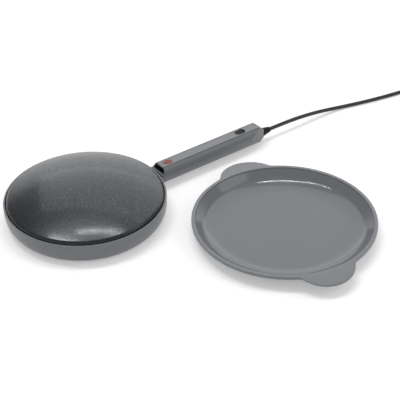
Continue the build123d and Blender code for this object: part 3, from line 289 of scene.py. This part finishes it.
def soft_black(name, level, roughness, gloss=0.5):
    """Return satin black plastic or rubber with a faint bloom."""
    def build(place):
        fine = place.noise(scale=1400.0, detail=2.0, roughness=0.6)
        bloom = place.noise(scale=60.0, detail=3.0, roughness=0.5)
        return {
            "Base_Color": bloom.mix(grey(level * 0.85), grey(level * 1.25)),
            "Roughness": fine * 0.10 + (roughness - 0.05),
            "Normal": bumped(fine, strength=0.08, distance=0.0003),
        }
    return finish_of(name, build, Specular_IOR_Level=gloss)


def plated(name, colour, roughness):
    """Return a plated or rolled metal with fine scuffs."""
    def build(place):
        scuff = place.noise(scale=420.0, detail=4.0, roughness=0.65)
        return {
            "Base_Color": scuff.mix(shaded(colour, 0.82), shaded(colour, 1.0)),
            "Roughness": scuff * 0.16 + (roughness - 0.08),
            "Normal": bumped(scuff, strength=0.05, distance=0.0003),
        }
    return finish_of(name, build, Metallic=1.0)


def red_window():
    """Return the pilot lens's red plastic, its inner face softly mottled."""
    def build(place):
        mottle = place.noise(scale=900.0, detail=1.0, roughness=0.4)
        return {
            "Base_Color": mottle.mix(RED_DEEP, RED_PALE),
            "Roughness": mottle * 0.06 + 0.16,
            "Normal": bumped(mottle, strength=0.15, distance=0.0004),
        }
    return finish_of("red_window", build, Specular_IOR_Level=0.35)


def insulation(name, colour):
    """Return matt coloured plastic: a wire's insulation, a nylon block or a lamp's frosted glass."""
    def build(place):
        mottle = place.noise(scale=700.0, detail=2.0, roughness=0.5)
        return {
            "Base_Color": mottle.mix(shaded(colour, 0.75), shaded(colour, 1.0)),
            "Roughness": mottle * 0.1 + 0.42,
        }
    return finish_of(name, build)


# ---- Batter dish --------------------------------------------------------------------------------
# Lengths are in millimetres and angles round the dish in degrees.
DISH_CENTRE = (178.6, -176.1)
DISH_R = 114.9
DISH_MOUTH_R = 110.1
DISH_TOP = 20.0
DISH_FLOOR_Z = 3.0
DISH_FLOOR_RADII = (20.0, 36.0, 48.0, 55.0)
DISH_WALL = 2.2
DISH_UNDER_Z = DISH_FLOOR_Z - DISH_WALL
DISH_UNDER_R = 30.0
DISH_COLUMNS = 288
FINE_PARTS = 5
FINE_FROM = 17.0
FINE_TO = 26.0

BROAD_BEND_R = 56.0
BROAD_BEND_TURN = math.radians(24.0)
BROAD_BEND_ROWS = 16
TIGHT_BEND_R = 16.0
TIGHT_BEND_ROWS = 8
WALL_SLOPE = math.radians(44.0)
WALL_TOP = 18.4
WALL_ROWS = (0.25, 0.5, 0.75, 0.97, 1.0)

MOUTH_ROLL = ((0.05, 19.1), (0.2, 19.6), (0.55, 19.9))
LIP_THICK = 2.4
LIP_START = 0.95
LIP_ROWS = 8
LIP_EDGE = ((0.35, 0.12), (0.08, 0.42), (0.0, 0.85))
LIP_EDGE_R = 0.75
LIP_UNDER_INSET = 1.05
# The lip and ears take a second material: a real rougher grain, and a lighter grey that is painted light on
# their flat, up-facing top band.
LIP_PAINTED_LIGHT = 1
LIP_PAINTED_LIGHT_START = 0.4
LIP_PAINTED_LIGHT_DEPTH = 4.0
SKIRT_DEPTH = 2.0
SKIRT_FADE = 3.0
SKIRT_INSIDE = ((1.3, 1.0), (1.65, 0.85))
WALL_OVERLAP = (0.4, 0.3)

FOOT_R = 64.0
FOOT_PROFILE = ((3.4, DISH_UNDER_Z), (3.0, 0.5), (2.6, 0.0), (0.4, 0.0), (0.0, 0.5), (-0.4, DISH_UNDER_Z))
FOOT_CLEARANCE = 4.5

EAR_ANGLES = (77.4, -102.6)
EAR_R = 37.4
EAR_CENTRE_R = 98.0
EAR_LENGTH = 20.0
EAR_DROOP = 2.6
EAR_DROOP_CURVE = 1.4
EAR_BLEND = 1.6
EAR_SIDE = math.radians(57.0)


def from_ear(angle, ear):
    """Return the shorter turn from an ear's middle to an angle."""
    return (angle - ear + 180) % 360 - 180


def ear_reach(angle):
    """Return the flange's radius at an angle: the round lip, or an ear with soft inner corners."""
    reach = DISH_R
    for ear in EAR_ANGLES:
        off = math.radians(from_ear(angle, ear))
        side = EAR_R ** 2 - (EAR_CENTRE_R * math.sin(off)) ** 2
        if side > 0 and abs(off) < EAR_SIDE:
            gap = EAR_CENTRE_R * math.cos(off) + math.sqrt(side) - DISH_R
            reach = DISH_R + (gap + math.sqrt(gap * gap + 4 * EAR_BLEND ** 2)) / 2
    return reach


def dish_angles():
    """Return the columns' angles, closer together where an ear's edge turns sharply."""
    angles = []
    spacing = 360.0 / DISH_COLUMNS
    for step in range(DISH_COLUMNS):
        angle = 360.0 * step / DISH_COLUMNS
        angles.append(angle)
        if FINE_FROM < min(abs(from_ear(angle, ear)) for ear in EAR_ANGLES) < FINE_TO:
            angles += [angle + spacing * part / FINE_PARTS for part in range(1, FINE_PARTS)]
    return angles


def bend(start_r, lift, radius, first, last, rows):
    """Return radius, height and slope along one bend of the bowl, between two slopes."""
    made = []
    for step in range(rows + 1):
        turn = first + (last - first) * step / rows
        run = radius * (math.sin(turn) - math.sin(first))
        rise = lift + radius * (math.cos(first) - math.cos(turn))
        made.append((start_r + run, DISH_FLOOR_Z + rise, turn))
    return made


def dish_bowl():
    """Return radius, height and slope along the inside: a broad bend, a tight one, then a straight wall."""
    broad_rise = BROAD_BEND_R * (1 - math.cos(BROAD_BEND_TURN))
    tight_rise = TIGHT_BEND_R * (math.cos(BROAD_BEND_TURN) - math.cos(WALL_SLOPE))
    wall_z = DISH_FLOOR_Z + broad_rise + tight_rise
    wall_r = DISH_MOUTH_R - (WALL_TOP - wall_z) / math.tan(WALL_SLOPE)
    tight_r = wall_r - TIGHT_BEND_R * (math.sin(WALL_SLOPE) - math.sin(BROAD_BEND_TURN))
    broad_r = tight_r - BROAD_BEND_R * math.sin(BROAD_BEND_TURN)
    rows = bend(broad_r, 0.0, BROAD_BEND_R, 0.0, BROAD_BEND_TURN, BROAD_BEND_ROWS)
    rows += bend(tight_r, broad_rise, TIGHT_BEND_R, BROAD_BEND_TURN, WALL_SLOPE, TIGHT_BEND_ROWS)[1:]
    for share in WALL_ROWS:
        radius = wall_r + (DISH_MOUTH_R - wall_r) * share
        rows.append((radius, wall_z + (WALL_TOP - wall_z) * share, WALL_SLOPE))
    return rows


def dish_column(reach, bowl):
    """Return one column of the dish's skin: inside, lip or ear, and back along the underside."""
    inside = [(r, DISH_FLOOR_Z) for r in DISH_FLOOR_RADII]
    inside += [(r, z) for r, z, slope in bowl]
    inside += [(DISH_MOUTH_R + outwards, height) for outwards, height in MOUTH_ROLL]

    start = DISH_MOUTH_R + LIP_START
    span = reach - LIP_EDGE_R - start
    droop = EAR_DROOP * (reach - DISH_R) / EAR_LENGTH
    shares = [step / LIP_ROWS for step in range(LIP_ROWS + 1)]
    top = [(start + span * s, DISH_TOP - droop * s ** EAR_DROOP_CURVE) for s in shares]
    shares = [s * (span - LIP_UNDER_INSET) / span for s in shares[2:]]
    under = [(start + span * s, DISH_TOP - LIP_THICK - droop * s ** EAR_DROOP_CURVE) for s in shares]

    skirt = SKIRT_DEPTH * max(0.0, 1 - (reach - DISH_R) / SKIRT_FADE)
    edge = list(LIP_EDGE)
    edge += [(inwards, LIP_THICK + skirt - down) for inwards, down in LIP_EDGE[::-1]]
    edge += [(inwards, LIP_THICK + skirt * share) for inwards, share in SKIRT_INSIDE]
    rim = [(reach - inwards, DISH_TOP - droop - down) for inwards, down in edge]

    widest, highest = start + WALL_OVERLAP[0], DISH_TOP - LIP_THICK - WALL_OVERLAP[1]
    outside = [(r + DISH_WALL * math.sin(a), z - DISH_WALL * math.cos(a)) for r, z, a in bowl]
    outside = [(min(r, widest), min(z, highest)) for r, z in outside if r > FOOT_R + FOOT_CLEARANCE]
    foot = [(FOOT_R + outwards, height) for outwards, height in FOOT_PROFILE]
    return inside + top + rim + under[::-1] + outside[::-1] + foot + [(DISH_UNDER_R, DISH_UNDER_Z)]


def closed_skin(form, columns):
    """Join columns of vertices round a ring with quads, and close both ends."""
    for index, column in enumerate(columns):
        other = columns[(index + 1) % len(columns)]
        for row in range(len(column) - 1):
            form.faces.new((column[row], other[row], other[row + 1], column[row + 1]))
    form.faces.new([column[0] for column in columns])
    form.faces.new([column[-1] for column in columns])


def piece_of(form, name, body, slot, *nodes):
    """Turn a bmesh in millimetres into a smooth piece that rides on a body and stands for nodes."""
    bmesh.ops.recalc_face_normals(form, faces=form.faces)
    bmesh.ops.scale(form, vec=(MM, MM, MM), verts=form.verts)
    mesh = bpy.data.meshes.new(name)
    form.to_mesh(mesh)
    form.free()
    mesh.shade_smooth()
    piece = bpy.data.objects.new(name, mesh)
    bpy.context.collection.objects.link(piece)
    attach(piece, body)
    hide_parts(*nodes)
    return piece


def dish_moulding():
    """Model the batter dish as one thin moulding with flush, slightly drooping ears."""
    form = bmesh.new()
    bowl = dish_bowl()
    columns = []
    for angle in dish_angles():
        turn = math.radians(angle)
        profile = dish_column(ear_reach(angle), bowl)
        columns.append([form.verts.new((*around(DISH_CENTRE, r, turn), z)) for r, z in profile])
    closed_skin(form, columns)
    for face in form.faces:
        corners = [vertex.co for vertex in face.verts]
        nearest = min(math.hypot(c.x - DISH_CENTRE[0], c.y - DISH_CENTRE[1]) for c in corners)
        lowest = min(c.z for c in corners)
        # Faces of the lip, ears and upper skirt get the lighter grained material: painted light on the
        # rim's top band.
        if nearest > DISH_MOUTH_R + LIP_PAINTED_LIGHT_START and lowest > DISH_TOP - LIP_PAINTED_LIGHT_DEPTH:
            face.material_index = LIP_PAINTED_LIGHT
    return piece_of(form, "dish_moulding", "dish", "grey_dish", "batter_dish")


# ---- Strain relief ------------------------------------------------------------------------------
BOOT_ROOT = 286.0
BOOT_TIP = 299.5
BOOT_Z = 14.5
BOOT_ROOT_R = 6.0
BOOT_TIP_R = 4.0
BOOT_BORE_R = 2.0
BOOT_GROOVE_R = 3.3
BOOT_RINGS = 5
BOOT_GAP = 0.4
RING_PROFILE = ((0.0, -0.25), (0.04, 0.0), (0.56, 0.0), (0.6, -0.25))
BOOT_SIDES = 48
BOOT_SHARP_ANGLE = math.radians(40)


def ribbed_boot():
    """Model the cord's boot: five rings that shrink towards the cord, with deep grooves between them."""
    pitch = (BOOT_TIP - BOOT_ROOT) / (BOOT_RINGS - BOOT_GAP)
    profile = [(BOOT_ROOT, BOOT_BORE_R)]
    for index in range(BOOT_RINGS):
        start = BOOT_ROOT + pitch * index
        radius = BOOT_ROOT_R + (BOOT_TIP_R - BOOT_ROOT_R) * index / (BOOT_RINGS - 1)
        if index:
            profile.append((start, BOOT_GROOVE_R))
        profile += [(start + pitch * along, radius + outwards) for along, outwards in RING_PROFILE]
        if index < BOOT_RINGS - 1:
            profile.append((start + pitch * RING_PROFILE[-1][0], BOOT_GROOVE_R))
    profile.append((BOOT_TIP, BOOT_BORE_R))
    form = bmesh.new()
    columns = []
    for side in range(BOOT_SIDES):
        turn = 2 * math.pi * side / BOOT_SIDES
        columns.append([form.verts.new((x, *around((0.0, BOOT_Z), r, turn))) for x, r in profile])
    closed_skin(form, columns)
    boot = piece_of(form, "cord_boot", "root", "cord_jacket", "strain_relief")
    boot.data.set_sharp_from_angle(angle=BOOT_SHARP_ANGLE)
    return boot


# ---- Stage --------------------------------------------------------------------------------------
FLOOR_HALF = 12.0
FLOOR_SQUARES = 8
FLOOR_DROP = 0.0002
FLOOR_LEVEL = 0.92
FLOOR_LIFT = 0.30
SKY_FILL = 0.50
SKY_OVERHEAD = 0.03
# The bright horizon fades out between two heights, and grows in between two nearnesses to the back.
HORIZON_FADE = (0.28, 0.46)
HORIZON_BACK = (0.50, 0.82)
HORIZON_SIDES = 0.15
STUDIO_BACK = (0.707, 0.707, 0.0)
LAMP_AIM = (0.1, -0.05, 0.0)
STRIP_GLOW = 78.0
SIDE_GLOW = 92.0
BACK_GLOW = 3.65
CARD_GLOW = 4.2


def floor():
    """Lay a wide pale floor that reads as white and keeps the object's shadow."""
    mesh = bpy.data.meshes.new("floor")
    form = bmesh.new()
    bmesh.ops.create_grid(form, x_segments=FLOOR_SQUARES, y_segments=FLOOR_SQUARES, size=FLOOR_HALF)
    form.to_mesh(mesh)
    form.free()
    plane = bpy.data.objects.new("floor", mesh)
    plane.location = (0, 0, -FLOOR_DROP)
    bpy.context.collection.objects.link(plane)
    material = bpy.data.materials.new("floor_paper")
    material.use_nodes = True
    tree = material.node_tree
    shader = tree.nodes["Principled BSDF"]
    shader.inputs["Roughness"].default_value = 0.9
    shader.inputs["Specular IOR Level"].default_value = 0.1
    shader.inputs["Base Color"].default_value = grey(FLOOR_LEVEL)
    shader.inputs["Emission Color"].default_value = grey(1.0)
    camera_ray, glossy_ray = rays(tree)
    tree.links.new(((camera_ray + glossy_ray) * FLOOR_LIFT).socket, shader.inputs["Emission Strength"])
    mesh.materials.append(material)


def world():
    """Fill the studio softly; reflections see a white horizon at the back that darkens overhead."""
    sky = bpy.data.worlds.new("studio")
    bpy.context.scene.world = sky
    sky.use_nodes = True
    tree = sky.node_tree
    back = tree.nodes["Background"]
    camera_ray, glossy_ray = rays(tree)
    direction = Value(tree).node("TexCoord", output="Generated")
    rise = direction.node("SeparateXYZ", output="Z", i0=direction)
    backwards = direction.node("VectorMath", {"operation": "DOT_PRODUCT"}, output="Value",
                               i0=direction, i1=STUDIO_BACK)
    horizon = rise.smooth(*HORIZON_FADE, 1.0, 0.0) * backwards.smooth(*HORIZON_BACK, HORIZON_SIDES, 1.0)
    shown = glossy_ray * (horizon + SKY_OVERHEAD) + (1 - glossy_ray) * SKY_FILL
    strength = camera_ray + (1 - camera_ray) * shown
    tree.links.new(strength.socket, back.inputs["Strength"])
    back.inputs["Color"].default_value = grey(1.0)


def softbox(name, left, right, depth, glow):
    """Hang one soft lamp between the two ends of its length, turned to face the object."""
    left, right = Vector(left), Vector(right)
    data = bpy.data.lights.new(name, "AREA")
    data.shape = "RECTANGLE"
    data.size = (right - left).length
    data.size_y = depth
    data.energy = glow * data.size * depth
    centre = (left + right) / 2
    along = (right - left).normalized()
    outwards = centre - Vector(LAMP_AIM)
    outwards = (outwards - along * outwards.dot(along)).normalized()
    lamp = bpy.data.objects.new(name, data)
    turn = Matrix((along, outwards.cross(along), outwards)).transposed().to_4x4()
    lamp.matrix_world = Matrix.Translation(centre) @ turn
    bpy.context.collection.objects.link(lamp)
    return lamp


def lights():
    """Hang two long strips overhead, one broad box high behind and one pale card in front."""
    softbox("strip_right", left=(-0.07, 0.54, 2.6), right=(1.01, -0.10, 2.6), depth=0.12, glow=STRIP_GLOW)
    softbox("strip_left", left=(-0.72, 1.00, 2.6), right=(-0.24, 0.23, 2.6), depth=0.15, glow=SIDE_GLOW)
    behind = softbox("behind", left=(0.166, 1.893, 1.29), right=(1.897, 0.10, 1.29), depth=1.6,
                     glow=BACK_GLOW)
    behind.visible_diffuse = False
    softbox("front_card", left=(0.85, -1.55, 1.25), right=(1.6, -0.90, 1.25), depth=0.9, glow=CARD_GLOW)


# ---- Materials on the pieces --------------------------------------------------------------------
def finishes():
    """Return every finish by the record's material slot."""
    return {
        "grey_shell": moulded_plastic("housing_grey", level=0.196, roughness=0.32),
        "grey_cover": moulded_plastic("cover_grey", level=0.243, roughness=0.36, grain=0.12),
        "grey_dish": moulded_plastic("dish_grey", level=0.202, roughness=0.11, grain=0.01),
        "nonstick_plate": nonstick(),
        "black_rubber": soft_black("foot_rubber", level=0.022, roughness=0.62),
        "cord_jacket": soft_black("cord_jacket", level=0.030, roughness=0.42),
        # This black dresses the switch rocker, and also the mouth insert: a black piece put inside the
        # handle's mouth as painted shade.
        "black_plastic": soft_black("switch_black_and_mouth_shade", level=0.006, roughness=0.48, gloss=0.28),
        "dark_phenolic": soft_black("phenolic", level=0.040, roughness=0.50),
        "element_tube": plated("element_tube", (0.36, 0.33, 0.30), roughness=0.45),
        "steel": plated("zinc_plate", (0.62, 0.63, 0.64), roughness=0.36),
        "shield_sheet": plated("shield_sheet", (0.72, 0.72, 0.73), roughness=0.30),
        "fuse_case": plated("fuse_case", (0.66, 0.66, 0.67), roughness=0.30),
        "brass": plated("terminal_brass", (0.72, 0.55, 0.26), roughness=0.32),
        "pin_chrome": plated("pin_nickel", (0.74, 0.73, 0.70), roughness=0.20),
        "red_lens": red_window(),
        "lamp_glass": insulation("lamp_glass", (0.80, 0.74, 0.66)),
        "white_nylon": insulation("white_nylon", (0.74, 0.74, 0.70)),
        "wire_insulation": insulation("brown_insulation", (0.16, 0.06, 0.03)),
        "neutral_insulation": insulation("blue_insulation", (0.04, 0.10, 0.32)),
    }


def dress(finish):
    """Give every carried-over node the finish of its material slot."""
    for entry in frame["record"]["subparts"]:
        mesh = frame["nodes"][entry["node"]].data
        mesh.materials.clear()
        mesh.materials.append(finish[entry["material_slot"]])


bpy.context.scene.view_settings.view_transform = "Standard"
camera()
boot = ribbed_boot()
lead = mains_cord()
dish = dish_moulding()
floor()
world()
lights()
FINISH = finishes()
dress(FINISH)
lead.data.materials.append(FINISH["cord_jacket"])
boot.data.materials.append(soft_black("boot_rubber", level=0.012, roughness=0.36, gloss=0.45))
dish.data.materials.append(FINISH["grey_dish"])
# The lip's material: real rougher grain, and a lighter grey that paints the light on the rim's top.
dish.data.materials.append(moulded_plastic("lip_grey_grained_painted_light", level=0.236, roughness=0.34, grain=0.12))

bpy.context.view_layer.update()
